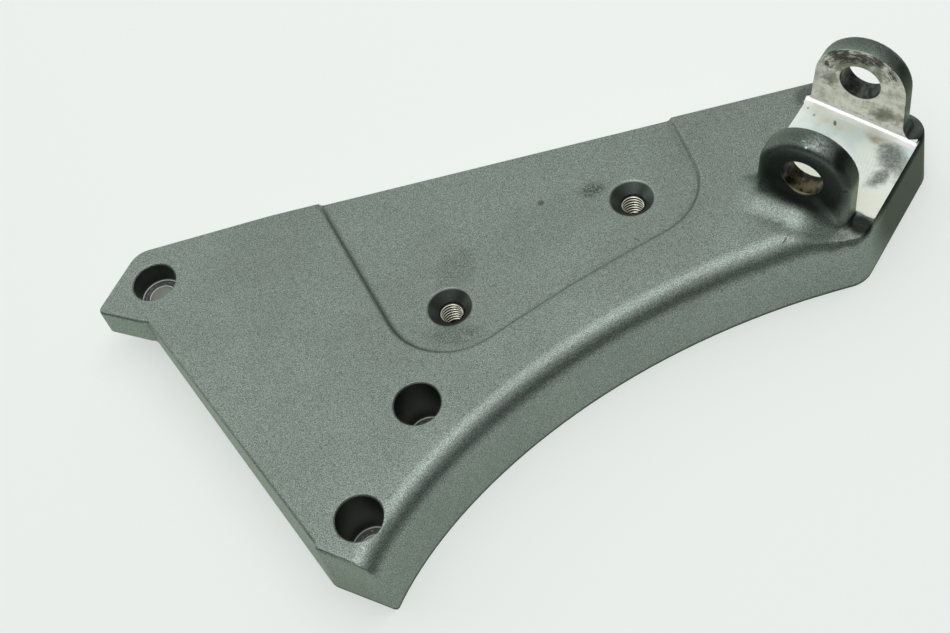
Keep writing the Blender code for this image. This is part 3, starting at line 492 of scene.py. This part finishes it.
@dataclass(frozen=True)
class MilledFloor:
    """Bare aluminium, end-milled through the coat and dulled by years of road dirt.

    Rubbed almost white, it keeps the cutter's fan of fine arcs only beside the near ear. Damp has tinted
    it in cold and warm patches, and a cloud of dirt sits where the footrest never wipes.
    """

    metal: str = "#F4FBF4"
    cold: str = "#E2F0EC"
    warm: str = "#E0D6BE"
    brown: str = "#AC9A76"
    dirt: str = "#4B4D42"
    pit: str = "#4A4238"
    clean: str = "#F5F8EB"
    # A painted highlight: pure white for the fillet along the far ear's foot
    corner: str = "#FFFFFF"
    feed: float = 1.1
    wander: float = 2.4
    cutter_radius: float = 19.0
    oxide_metallic: float = 0.3
    corner_metallic: float = 0.85
    roughness: float = 0.42
    edge_radius: float = 0.3
    relief: float = 0.02
    clevis: Clevis = Clevis()
    fan: Mark = Mark((9.4, -14.5, -4.0), (7.0, 8.0, 6.0))
    dirt_marks: tuple[Mark, ...] = (
        Mark((15.8, -10.0, -5.0), (12.5, 7.4, 7.0), -57.5, 1.0),
        Mark((15.3, -17.5, -4.8), (9.5, 4.4, 7.0), -109.6, 1.0),
    )
    stains: tuple[Mark, ...] = (
        Mark((-5.0, -5.6, -1.5), (14.0, 3.4, 6.0), -3.0, 0.6),
        Mark((8.6, -5.4, -3.5), (6.5, 2.4, 5.0), -14.0, 0.8),
    )
    pits: tuple[Mark, ...] = (
        Mark((-5.1, -5.6, -1.7), (0.7, 1.4, 2.0), 25.0, 0.85),
        Mark((-14.8, -4.3, -0.3), (0.5, 0.5, 2.0), 0.0, 0.6),
        Mark((-12.0, -5.9, -0.7), (0.45, 0.8, 2.0), 0.0, 0.6),
        Mark((15.0, -33.4, -4.6), (2.6, 0.9, 3.0), 0.0, 0.8),
    )

    def build(self) -> bpy.types.Material:
        """Make the material.

        Returns:
            The material.
        """
        tree = Tree("end_milled_aluminium")
        place = self.clevis.frame_place(tree)
        tint = tree.add("TexNoise", (place, per_metre(14.0), 2.0))
        cloud = tree.add("TexNoise", (place, per_metre(3.4), 5.0, 0.72))
        fine = tree.add("TexNoise", (place, per_metre(0.7), 3.0, 0.7))
        tinted = tree.add("MapRange", (tint, 0.4, 0.6), **GENTLE)
        colour = tree.add("Mix", (tinted, linear(self.metal), linear(self.cold)), **COLOURS)
        uneven = tree.add("MapRange", (cloud, 0.35, 0.6, 0.4, 1.0), **GENTLE)
        for mark, tone in zip(self.stains, (self.warm, self.brown)):
            share = tree.add("Math", (mark.mask(tree, place, 0.9), uneven), operation="MULTIPLY")
            colour = tree.add("Mix", (share, colour, linear(tone)), **COLOURS)
        along = tree.add("SeparateXYZ", (place,)).outputs["Y"]
        near_end = tree.add("MapRange", (along, -26.0 * MM, -21.0 * MM, 1.0, 0.0), **GENTLE)
        colour = tree.add("Mix", (near_end, colour, linear(self.clean)), **COLOURS)
        dirt = tree.strongest([mark.mask(tree, place, 0.95) for mark in self.dirt_marks])
        centred = tree.add("Math", (cloud, 0.5), operation="SUBTRACT")
        mottle = tree.add("Math", (centred, 1.4), operation="MULTIPLY")
        dirt = tree.add("Math", (dirt, mottle), operation="ADD")
        dirt = tree.add("MapRange", (dirt, 0.02, 0.95, 0.0, 0.85), **GENTLE)
        gritty = tree.add("MapRange", (fine, 0.35, 0.6, 0.75, 1.0), **GENTLE)
        dirt = tree.add("Math", (dirt, gritty), operation="MULTIPLY")
        colour = tree.add("Mix", (dirt, colour, linear(self.dirt)), **COLOURS)
        for mark in self.pits:
            colour = tree.add("Mix", (mark.mask(tree, place, 0.6), colour, linear(self.pit)), **COLOURS)
        arcs = self.milling_arcs(tree, place, cloud)
        arcs = tree.add("Math", (arcs, self.fan.mask(tree, place, 0.9)), operation="MULTIPLY")
        in_arcs = tree.add("MapRange", (arcs, 0.0, 1.0, 0.0, 0.07), **GENTLE)
        colour = tree.add("Mix", (in_arcs, colour, linear(self.dirt)), **COLOURS)
        # Painted highlight: the fillet along the far ear's foot is painted white and made more metallic
        corner = tree.add("MapRange", (along, -4.0 * MM, -2.6 * MM), **GENTLE)
        colour = tree.add("Mix", (corner, colour, linear(self.corner)), **COLOURS)
        edge = tree.add("Bevel", {"Radius": self.edge_radius * MM}, samples=4)
        lumps = tree.add("Math", (cloud, 1.4), operation="MULTIPLY")
        height = tree.add("Math", (arcs, lumps), operation="ADD")
        bump = tree.add("Bump", {"Height": height, "Distance": self.relief * MM, "Strength": 1.0,
                                 "Normal": edge})
        # Its chalky film of oxide scatters as much light as the metal under it mirrors
        levels = (self.oxide_metallic, self.corner_metallic)
        metallic = tree.add("MapRange", (corner, 0.0, 1.0, *levels), **GENTLE)
        tree.feed(tree.shader, {"Base Color": colour, "Metallic": metallic, "Roughness": self.roughness,
                                "Normal": bump})
        return tree.material

    def milling_arcs(self, tree: Tree, place: Source, cloud: Source) -> Source:
        """The end mill's arcs, one for each step of its feed across the pin.

        Args:
            tree: The material's nodes.
            place: The place in the clevis's frame.
            cloud: The noise by which the arcs wander.

        Returns:
            A value that swings between 0 and 1 from arc to arc.
        """
        parts = tree.add("SeparateXYZ", (place,))
        along = tree.add("Math", (parts.outputs["Y"], self.clevis.slot_width / 2 * MM), operation="ADD")
        share = tree.add("Math", (along, self.cutter_radius * MM), operation="DIVIDE")
        squared = tree.add("Math", (share, share), operation="MULTIPLY")
        rest = tree.add("Math", (1.0, squared), operation="SUBTRACT")
        rest = tree.add("Math", (rest, 0.05), operation="MAXIMUM")
        root = tree.add("Math", (rest,), operation="SQRT")
        sagitta = tree.add("Math", (1.0, root), operation="SUBTRACT")
        bow = tree.add("Math", (sagitta, self.cutter_radius * MM), operation="MULTIPLY")
        bent = tree.add("Math", (parts.outputs["X"], bow), operation="ADD")
        sway = tree.add("Math", (cloud, self.wander * MM), operation="MULTIPLY")
        bent = tree.add("Math", (bent, sway), operation="ADD")
        phase = tree.add("Math", (bent, math.tau / (self.feed * MM)), operation="MULTIPLY")
        swing = tree.add("Math", (phase,), operation="SINE")
        return tree.add("MapRange", (swing, -1.0, 1.0), **GENTLE)


@dataclass(frozen=True)
class RubbedFace:
    """Bare aluminium on the ears' inner faces, rubbed by the footrest's shoulder as it folds.

    Grit under the shoulder has cut short arcs round the pin and ground brown dirt into them, darkest
    over the pin. Beyond its reach the face is clean and pale.
    """

    metal: str = "#FBFBF0"
    shade: str = "#BFBFA9"
    ground: str = "#7A7866"
    dirt: str = "#2A2820"
    scratch: str = "#F8F6F0"
    shoulder_radius: float = 14.0
    arc_width: float = 0.55
    arc_length: float = 4.5
    wander: float = 2.2
    arc_radius: float = 11.0
    metallic: float = 0.2
    roughness: float = 0.45
    edge_radius: float = 0.25
    relief: float = 0.035
    clevis: Clevis = Clevis()
    dark_marks: tuple[Mark, ...] = (
        Mark((-7.0, 0.0, 22.8), (8.5, 8.0, 4.6), 0.0, 0.95),
        Mark((2.5, 0.0, 23.6), (9.5, 8.0, 3.6), 0.0, 0.85),
        Mark((9.5, 0.0, 20.5), (3.6, 8.0, 4.5), 0.0, 0.6),
        Mark((-10.5, 0.0, 17.5), (2.8, 8.0, 5.0), 0.0, 0.55),
    )
    ground_marks: tuple[Mark, ...] = (
        Mark((0.0, 0.0, 19.0), (15.0, 8.0, 9.0), 0.0, 0.85),
        Mark((-9.8, 0.0, 11.0), (4.2, 8.0, 6.5), 0.0, 0.7),
        Mark((8.5, 0.0, 2.5), (8.5, 8.0, 6.0), 0.0, 0.75),
    )
    scratch_mark: Mark = Mark((11.2, 0.0, 13.5), (4.2, 8.0, 7.5), 0.0, 0.9)

    def build(self) -> bpy.types.Material:
        """Make the material.

        Returns:
            The material.
        """
        tree = Tree("machined_aluminium_scored_by_the_footrest")
        place = self.clevis.frame_place(tree)
        cloud = tree.add("TexNoise", (place, per_metre(4.5), 5.0, 0.72))
        fine = tree.add("TexNoise", (place, per_metre(0.9), 4.0, 0.7))
        radius, turn = self.round_pin(tree, place)
        sway = tree.add("Math", (cloud, self.wander * MM), operation="MULTIPLY")
        outward = tree.add("Math", (radius, sway), operation="ADD")
        outward = tree.add("Math", (outward, self.arc_length / self.arc_width), operation="MULTIPLY")
        round_it = tree.add("Math", (turn, self.arc_radius * MM), operation="MULTIPLY")
        arcs = tree.add("CombineXYZ", (outward, round_it))
        score = tree.add("TexNoise", (arcs, per_metre(self.arc_length), 5.0, 0.75))
        centred = tree.add("Math", (cloud, 0.5), operation="SUBTRACT")
        mottle = tree.add("Math", (centred, 2.2), operation="MULTIPLY")
        shaded = tree.add("MapRange", (cloud, 0.4, 0.62, 0.0, 0.7), **GENTLE)
        colour = tree.add("Mix", (shaded, linear(self.metal), linear(self.shade)), **COLOURS)
        ground = tree.strongest([mark.mask(tree, place, 0.8) for mark in self.ground_marks])
        ground = tree.add("Math", (ground, mottle), operation="ADD")
        ground = tree.add("MapRange", (ground, 0.05, 0.95, 0.0, 0.85), **GENTLE)
        colour = tree.add("Mix", (ground, colour, linear(self.ground)), **COLOURS)
        dark = tree.strongest([mark.mask(tree, place, 0.8) for mark in self.dark_marks])
        streaks = tree.add("Math", (score, 0.5), operation="SUBTRACT")
        streaks = tree.add("Math", (streaks, 4.5), operation="MULTIPLY")
        in_dark = tree.add("MapRange", (dark, 0.0, 0.3), **GENTLE)
        streaks = tree.add("Math", (streaks, in_dark), operation="MULTIPLY")
        dark = tree.fold("ADD", [dark, streaks, mottle])
        dark = tree.add("MapRange", (dark, 0.15, 0.8, 0.0, 0.9), **GENTLE)
        shoulder = [(self.shoulder_radius + gap) * MM for gap in (0.0, 1.2)]
        under = tree.add("MapRange", (radius, *shoulder, 1.0, 0.0), **GENTLE)
        dark = tree.add("Math", (dark, under), operation="MULTIPLY")
        colour = tree.add("Mix", (dark, colour, linear(self.dirt)), **COLOURS)
        scored = tree.add("MapRange", (score, 0.46, 0.36), **GENTLE)
        scratch = self.scratch_mark.mask(tree, place, 0.7)
        bright = tree.add("Math", (scratch, scored), operation="MULTIPLY")
        colour = tree.add("Mix", (bright, colour, linear(self.scratch)), **COLOURS)
        edge = tree.add("Bevel", {"Radius": self.edge_radius * MM}, samples=4)
        grit = tree.add("Math", (fine, 0.5), operation="MULTIPLY")
        height = tree.add("Math", (score, grit), operation="ADD")
        bump = tree.add("Bump", {"Height": height, "Distance": self.relief * MM, "Strength": 0.8,
                                 "Normal": edge})
        tree.feed(tree.shader, {"Base Color": colour, "Metallic": self.metallic,
                                "Roughness": self.roughness, "Normal": bump})
        return tree.material

    def round_pin(self, tree: Tree, place: Source) -> tuple[Source, Source]:
        """Give the distance from the pin's axis and the turn round it.

        Args:
            tree: The material's nodes.
            place: The place in the clevis's frame.

        Returns:
            The distance in metres and the turn in radians.
        """
        parts = tree.add("SeparateXYZ", (place,))
        rise = tree.add("Math", (parts.outputs["Z"], self.clevis.pin_height * MM), operation="SUBTRACT")
        flat = tree.add("CombineXYZ", (parts.outputs["X"], rise))
        radius = tree.add("VectorMath", (flat,), operation="LENGTH")
        return radius, tree.add("Math", (rise, parts.outputs["X"]), operation="ARCTAN2")


@dataclass(frozen=True)
class PinBore:
    """The pin's bore: old grease has browned the bare metal, in streaks along the pin.

    Seen in the light, the streaks shine yellowish between dark, dry patches.
    """

    name: str
    metal: str
    grease: str
    dark: str
    rim: str
    rim_at: float
    metallic: float
    edge_radius: float = 0.25
    relief: float = 0.06
    clevis: Clevis = Clevis()

    def build(self) -> bpy.types.Material:
        """Make the material.

        Returns:
            The material.
        """
        tree = Tree(self.name)
        place = self.clevis.frame_place(tree)
        stretched = tree.add("VectorMath", (place, (1.0, 0.45, 1.0)), operation="MULTIPLY")
        streak = tree.add("TexNoise", (stretched, per_metre(1.8), 4.0, 0.65))
        patch = tree.add("TexNoise", (place, per_metre(3.6), 3.0, 0.6))
        shine = tree.add("MapRange", (streak, 0.4, 0.62), **GENTLE)
        colour = tree.add("Mix", (shine, linear(self.grease), linear(self.metal)), **COLOURS)
        dry = tree.add("MapRange", (patch, 0.42, 0.62, 0.0, 0.9), **GENTLE)
        colour = tree.add("Mix", (dry, colour, linear(self.dark)), **COLOURS)
        along = tree.add("SeparateXYZ", (place,)).outputs["Y"]
        from_rim = tree.add("Math", (along, self.rim_at * MM), operation="SUBTRACT")
        worn = tree.add("MapRange", (from_rim, 0.05 * MM, 0.25 * MM, 0.6, 0.0), **GENTLE)
        colour = tree.add("Mix", (worn, colour, linear(self.rim)), **COLOURS)
        edge = tree.add("Bevel", {"Radius": self.edge_radius * MM}, samples=4)
        bump = tree.add("Bump", {"Height": streak, "Distance": self.relief * MM, "Strength": 0.8,
                                 "Normal": edge})
        roughness = tree.add("MapRange", (streak, 0.35, 0.65, 0.48, 0.3), **GENTLE)
        tree.feed(tree.shader, {"Base Color": colour, "Metallic": self.metallic, "Roughness": roughness,
                                "Normal": bump})
        return tree.material


@dataclass(frozen=True)
class TappedMetal:
    """Aluminium cut by the tap: bright crests, and roots painted near black as painted shade."""

    metal: str = "#FDFDEA"
    oil: str = "#EFEAD0"
    # Painted shade: near black for the thread's roots
    root: str = "#16140D"
    bright_to: float = 3.4
    dark_from: float = 3.58
    metallic: float = 0.5
    roughness: float = 0.28
    relief: float = 0.004

    def build(self) -> bpy.types.Material:
        """Make the material.

        Returns:
            The material.
        """
        tree = Tree("tapped_aluminium")
        place = tree.add("TexCoord").outputs["Object"]
        film = tree.add("TexNoise", (place, per_metre(1.3), 3.0, 0.6))
        oily = tree.add("MapRange", (film, 0.42, 0.66), **GENTLE)
        colour = tree.add("Mix", (oily, linear(self.metal), linear(self.oil)), **COLOURS)
        radii = [tree.from_axis(place, Vector((*centre, 0.0)))[0] for centre in GUARD_SCREWS]
        radius = tree.fold("MINIMUM", radii)
        # Painted shade: darker towards the roots, by distance from the hole's axis
        deep = tree.add("MapRange", (radius, self.bright_to * MM, self.dark_from * MM), **GENTLE)
        colour = tree.add("Mix", (deep, colour, linear(self.root)), **COLOURS)
        bump = tree.add("Bump", {"Height": film, "Distance": self.relief * MM, "Strength": 0.6})
        tree.feed(tree.shader, {"Base Color": colour, "Metallic": self.metallic,
                                "Roughness": self.roughness, "Normal": bump})
        return tree.material


@dataclass
class Casting:
    """The hanger's casting, drawn from its CAD solid with even shading and a finish for each surface."""

    name: str = "hanger_casting"
    weld: float = 0.001
    sharp_angle: float = 31.0
    clevis: Clevis = Clevis()
    counterbore_radius: float = 7.0
    rim_chamfer: float = 0.5
    thread_radius: float = 3.9
    tolerance: float = 0.05
    facing: float = 0.95

    def build(self, node: bpy.types.Object, finishes: dict[Finish, bpy.types.Material]) -> bpy.types.Object:
        """Build the casting and dress it.

        Args:
            node: The CAD node that it stands for.
            finishes: The material for each finish.

        Returns:
            The new piece.
        """
        mesh = node.data.copy()
        mesh.name = self.name
        mesh.materials.clear()
        for finish in Finish:
            mesh.materials.append(finishes[finish])
        self.weld_and_shade(mesh)
        for face in mesh.polygons:
            place = face.center / MM - HANGER_ORIGIN
            face.material_index = self.finish_at(place, face.normal)
        piece = bpy.data.objects.new(self.name, mesh)
        bpy.context.scene.collection.objects.link(piece)
        return piece

    def weld_and_shade(self, mesh: bpy.types.Mesh) -> None:
        """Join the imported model's loose faces and shade them smooth between sharp edges.

        Each corner takes the mean direction of only those faces round it that lean like its own, so that
        no shade leaks past the end of a sharp edge.

        Args:
            mesh: The mesh that is changed.
        """
        bm = bmesh.new()
        bm.from_mesh(mesh)
        bmesh.ops.remove_doubles(bm, verts=bm.verts, dist=self.weld * MM)
        bm.to_mesh(mesh)
        bm.free()
        mesh.shade_smooth()
        around = [[] for _ in mesh.vertices]
        for face in mesh.polygons:
            for vertex in face.vertices:
                around[vertex].append(face)
        alike = math.cos(math.radians(self.sharp_angle))
        normals = []
        for face in mesh.polygons:
            for vertex in face.vertices:
                near = [f.normal * f.area for f in around[vertex] if f.normal.dot(face.normal) > alike]
                normals.append(sum(near, Vector()).normalized())
        mesh.normals_split_custom_set(normals)

    def finish_at(self, place: Vector, normal: Vector) -> Finish:
        """Choose a face's finish from where it is.

        Args:
            place: The face's middle in the hanger's frame, in millimetres.
            normal: The face's normal.

        Returns:
            The finish.
        """
        for x, y, _ in FRAME_SCREWS:
            if (place.xy - Vector((x, y))).length < self.counterbore_radius + self.tolerance:
                return Finish.SOCKET if place.z < -self.rim_chamfer else Finish.COAT
        for centre in GUARD_SCREWS:
            if (place.xy - Vector(centre)).length < self.thread_radius + self.tolerance:
                return Finish.TAPPED
        return self.clevis_finish(self.clevis.local(place), normal)

    def clevis_finish(self, place: Vector, normal: Vector) -> Finish:
        """Choose the finish of a face that may be in the clevis.

        Args:
            place: The face's middle in the clevis's frame, in millimetres.
            normal: The face's normal.

        Returns:
            The finish.
        """
        clevis = self.clevis
        across, along, height = place
        from_pin = math.hypot(across, height - clevis.pin_height)
        if from_pin < clevis.pin_radius + 2 * self.tolerance:
            return Finish.COATED_BORE if along > 0 else Finish.WORN_BORE
        in_slot = -clevis.slot_width - self.tolerance < along < self.tolerance
        above_floor = height > clevis.floor_height(across) - self.tolerance
        if in_slot and above_floor and abs(across) < clevis.half_length:
            return Finish.RUBBED if abs(normal.dot(clevis.along())) > self.facing else Finish.MILLED
        return Finish.COAT


@dataclass
class TappedThread:
    """The thread's ridge in a tapped hole: one helix on the wall of the CAD solid's hole."""

    centre: tuple[float, float]
    root_radius: float = 3.95
    crest_radius: float = 3.32
    pitch: float = 1.25
    crest_width: float = 0.18
    root_width: float = 0.92
    top: float = -5.15
    turns: float = 9.6
    steps: int = 40
    lead_in: float = 0.4
    edge_angle: float = 30.0

    def build(self, name: str, material: bpy.types.Material) -> bpy.types.Object:
        """Sweep the ridge's section down the hole.

        Args:
            name: The piece's name.
            material: Its finish.

        Returns:
            The new piece.
        """
        section = ((self.root_radius, self.root_width / 2), (self.crest_radius, self.crest_width / 2),
                   (self.crest_radius, -self.crest_width / 2), (self.root_radius, -self.root_width / 2))
        middle = HANGER_ORIGIN + Vector((*self.centre, self.top))
        bm = bmesh.new()
        rows = []
        count = round(self.turns * self.steps)
        for i in range(count + 1):
            # A right-hand thread goes down clockwise, seen from above
            turn = Matrix.Rotation(-math.tau * i / self.steps, 3, "Z")
            drop = Vector((0.0, 0.0, -self.pitch * i / self.steps))
            # The ridge fades out where the tap started
            fade = min(1.0, i / (self.steps * self.lead_in))
            ring = []
            for radius, height in section:
                faded = self.root_radius - (self.root_radius - radius) * fade
                ring.append(bm.verts.new((middle + drop + turn @ Vector((faded, 0.0, height))) * MM))
            rows.append(ring)
        for upper, lower in zip(rows, rows[1:]):
            for k in range(len(section)):
                j = (k + 1) % len(section)
                bm.faces.new((upper[k], upper[j], lower[j], lower[k]))
        bm.faces.new(rows[0])
        bm.faces.new(reversed(rows[-1]))
        bmesh.ops.recalc_face_normals(bm, faces=bm.faces)
        mesh = bpy.data.meshes.new(name)
        bm.to_mesh(mesh)
        bm.free()
        mesh.shade_smooth()
        mesh.set_sharp_from_angle(angle=math.radians(self.edge_angle))
        mesh.materials.append(material)
        piece = bpy.data.objects.new(name, mesh)
        bpy.context.scene.collection.objects.link(piece)
        return piece


@dataclass
class Softbox:
    """A soft studio lamp that points at the part, with its middle, width and depth in metres."""

    name: str
    middle: tuple[float, float, float]
    width: float
    depth: float
    radiance: float
    spin: float = 0.0
    colour: str = "#FFFFFF"

    def build(self) -> bpy.types.Object:
        """Hang the lamp and point it at the part.

        Returns:
            The lamp.
        """
        lamp = bpy.data.lights.new(self.name, "AREA")
        lamp.shape = "RECTANGLE"
        lamp.size = self.width
        lamp.size_y = self.depth
        lamp.energy = self.radiance * math.pi * self.width * self.depth
        lamp.color = linear(self.colour)[:3]
        piece = bpy.data.objects.new(self.name, lamp)
        place = Vector(self.middle)
        aim = place.to_track_quat("Z", "Y").to_matrix().to_4x4()
        spin = Matrix.Rotation(math.radians(self.spin), 4, "Z")
        piece.matrix_world = Matrix.Translation(place) @ aim @ spin
        bpy.context.scene.collection.objects.link(piece)
        return piece


@dataclass(frozen=True)
class PhotoCamera:
    """The camera, where the photograph's perspective puts it. Places are millimetres in the world."""

    eye: tuple[float, float, float] = (3.2054, -241.7278, 370.8417)
    right: tuple[float, float, float] = (0.9713, -0.1633, -0.1727)
    back: tuple[float, float, float] = (0.0457, -0.5844, 0.8102)
    sensor_width: float = 36.0
    focal_length: float = 53.954
    nearest: float = 0.01

    def build(self) -> bpy.types.Object:
        """Set the camera and look through it.

        Returns:
            The camera.
        """
        lens = bpy.data.cameras.new("photo_camera")
        lens.sensor_width = self.sensor_width
        lens.lens = self.focal_length
        lens.clip_start = self.nearest
        camera = bpy.data.objects.new("photo_camera", lens)
        right = Vector(self.right).normalized()
        back = Vector(self.back)
        back = (back - right * back.dot(right)).normalized()
        turn = Matrix((right, back.cross(right), back)).transposed().to_4x4()
        camera.matrix_world = Matrix.Translation(Vector(self.eye) * MM) @ turn
        bpy.context.scene.collection.objects.link(camera)
        bpy.context.scene.camera = camera
        return camera


@dataclass
class Studio:
    """A pale table in a bright room, with one broad lamp overhead and a dark screen round the front."""

    floor_colour: str = "#F3F7F4"
    shaded_colour: str = "#B5B9B6"
    floor_size: float = 6.0
    floor_lift: float = 0.5
    room_colour: str = "#F6F9F7"
    room_levels: tuple[float, float] = (0.98, 0.52)
    room_span: tuple[float, float] = (-0.5, 0.6)
    screen_colour: str = "#0E100F"
    screen_radius: float = 0.85
    screen_foot: float = 0.002
    screen_height: float = 0.8
    screen_arc: tuple[float, float] = (172.0, 375.0)
    screen_steps: int = 24

    def build(self) -> None:
        """Set the table, the room, the lamp, the screen and the camera."""
        self.table()
        self.screen()
        self.room()
        Softbox("overhead_lamp", middle=(0.05, -0.08, 1.0), width=1.2, depth=0.36, radiance=2.7,
                spin=8.0).build()
        PhotoCamera().build()
        bpy.context.scene.view_settings.view_transform = "Standard"

    def plain(self, name: str, colour: str, roughness: float) -> Tree:
        """A plain painted board.

        Args:
            name: The material's name.
            colour: Its sRGB hex colour.
            roughness: How matt it is.

        Returns:
            The material's nodes.
        """
        tree = Tree(name)
        tree.feed(tree.shader, {"Base Color": linear(colour), "Roughness": roughness,
                                "Specular IOR Level": 0.2})
        return tree

    def table(self) -> None:
        """Lay the white board that the part stands on."""
        mesh = bpy.data.meshes.new("table")
        half = self.floor_size / 2
        bm = bmesh.new()
        corners = ((-half, -half), (half, -half), (half, half), (-half, half))
        bm.faces.new([bm.verts.new((x, y, 0.0)) for x, y in corners])
        bm.to_mesh(mesh)
        bm.free()
        tree = self.plain("matt_white_board", self.floor_colour, 0.7)
        rays = tree.add("LightPath").outputs
        kinds = ("Is Camera Ray", "Is Glossy Ray", "Is Transmission Ray")
        seen = tree.strongest([rays[kind] for kind in kinds])
        # The photograph overexposes its table, so what the eye sees of the board takes a weaker shadow
        board = tree.add("Mix", (seen, linear(self.floor_colour), linear(self.shaded_colour)), **COLOURS)
        tree.feed(tree.shader,
                  {"Base Color": board, "Emission Color": linear(self.floor_colour),
                   "Emission Strength": tree.add("Math", (seen, self.floor_lift), operation="MULTIPLY")})
        mesh.materials.append(tree.material)
        piece = bpy.data.objects.new("table", mesh)
        bpy.context.scene.collection.objects.link(piece)

    def screen(self) -> None:
        """Stand the dark cloth that darkens the lower half of every fold."""
        mesh = bpy.data.meshes.new("dark_screen")
        bm = bmesh.new()
        start, end = self.screen_arc
        posts = []
        for i in range(self.screen_steps + 1):
            turn = math.radians(start + (end - start) * i / self.screen_steps)
            x, y = self.screen_radius * math.cos(turn), self.screen_radius * math.sin(turn)
            posts.append([bm.verts.new((x, y, z)) for z in (self.screen_foot, self.screen_height)])
        for (low, high), (next_low, next_high) in zip(posts, posts[1:]):
            bm.faces.new((low, next_low, next_high, high))
        bm.to_mesh(mesh)
        bm.free()
        mesh.materials.append(self.plain("black_cloth", self.screen_colour, 0.9).material)
        piece = bpy.data.objects.new("dark_screen", mesh)
        piece.visible_camera = False
        bpy.context.scene.collection.objects.link(piece)

    def room(self) -> None:
        """Light the room softly, dimmer on the right, away from its window."""
        tree = Tree("bright_room", bpy.data.worlds.new("bright_room"))
        direction = tree.add("TexCoord").outputs["Generated"]
        rightward = tree.add("SeparateXYZ", (direction,)).outputs["X"]
        level = tree.add("MapRange", (rightward, *self.room_span, *self.room_levels), **GENTLE)
        tree.feed(tree.shader, {"Color": linear(self.room_colour), "Strength": level})
        bpy.context.scene.world = tree.material


def carried(piece: bpy.types.Object) -> bpy.types.Object:
    """Make a piece part of the hanger.

    Args:
        piece: The piece.

    Returns:
        The same piece.
    """
    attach(piece, BODY)
    log.info("%s: %d faces", piece.name, len(piece.data.polygons))
    return piece


def main() -> None:
    """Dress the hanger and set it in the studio."""
    logging.basicConfig(level=logging.INFO, format="%(name)s: %(message)s")
    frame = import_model()
    worn_bore = PinBore("bare_bore_browned_by_grease", metal="#6B644A", grease="#343026", dark="#13120E",
                        rim="#B9B292", rim_at=-40.9, metallic=0.7)
    coated_bore = PinBore("thin_coat_in_the_bore", metal="#62665F", grease="#383B37", dark="#1C1F1D",
                          rim="#DAD6C8", rim_at=0.0, metallic=0.6)
    tapped = TappedMetal().build()
    finishes = {
        Finish.COAT: MetallicCoat().build(),
        Finish.SOCKET: SocketCoat().build(),
        Finish.MILLED: MilledFloor().build(),
        Finish.RUBBED: RubbedFace().build(),
        Finish.WORN_BORE: worn_bore.build(),
        Finish.COATED_BORE: coated_bore.build(),
        Finish.TAPPED: tapped,
    }
    piece = carried(Casting().build(frame["nodes"][NODE], finishes))
    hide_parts(NODE)
    for number, (centre, turns) in enumerate(zip(GUARD_SCREWS, THREAD_TURNS), 1):
        carried(TappedThread(centre, turns=turns).build(f"guard_thread_{number}", tapped))
    Studio().build()


if __name__ == "__main__":
    main()
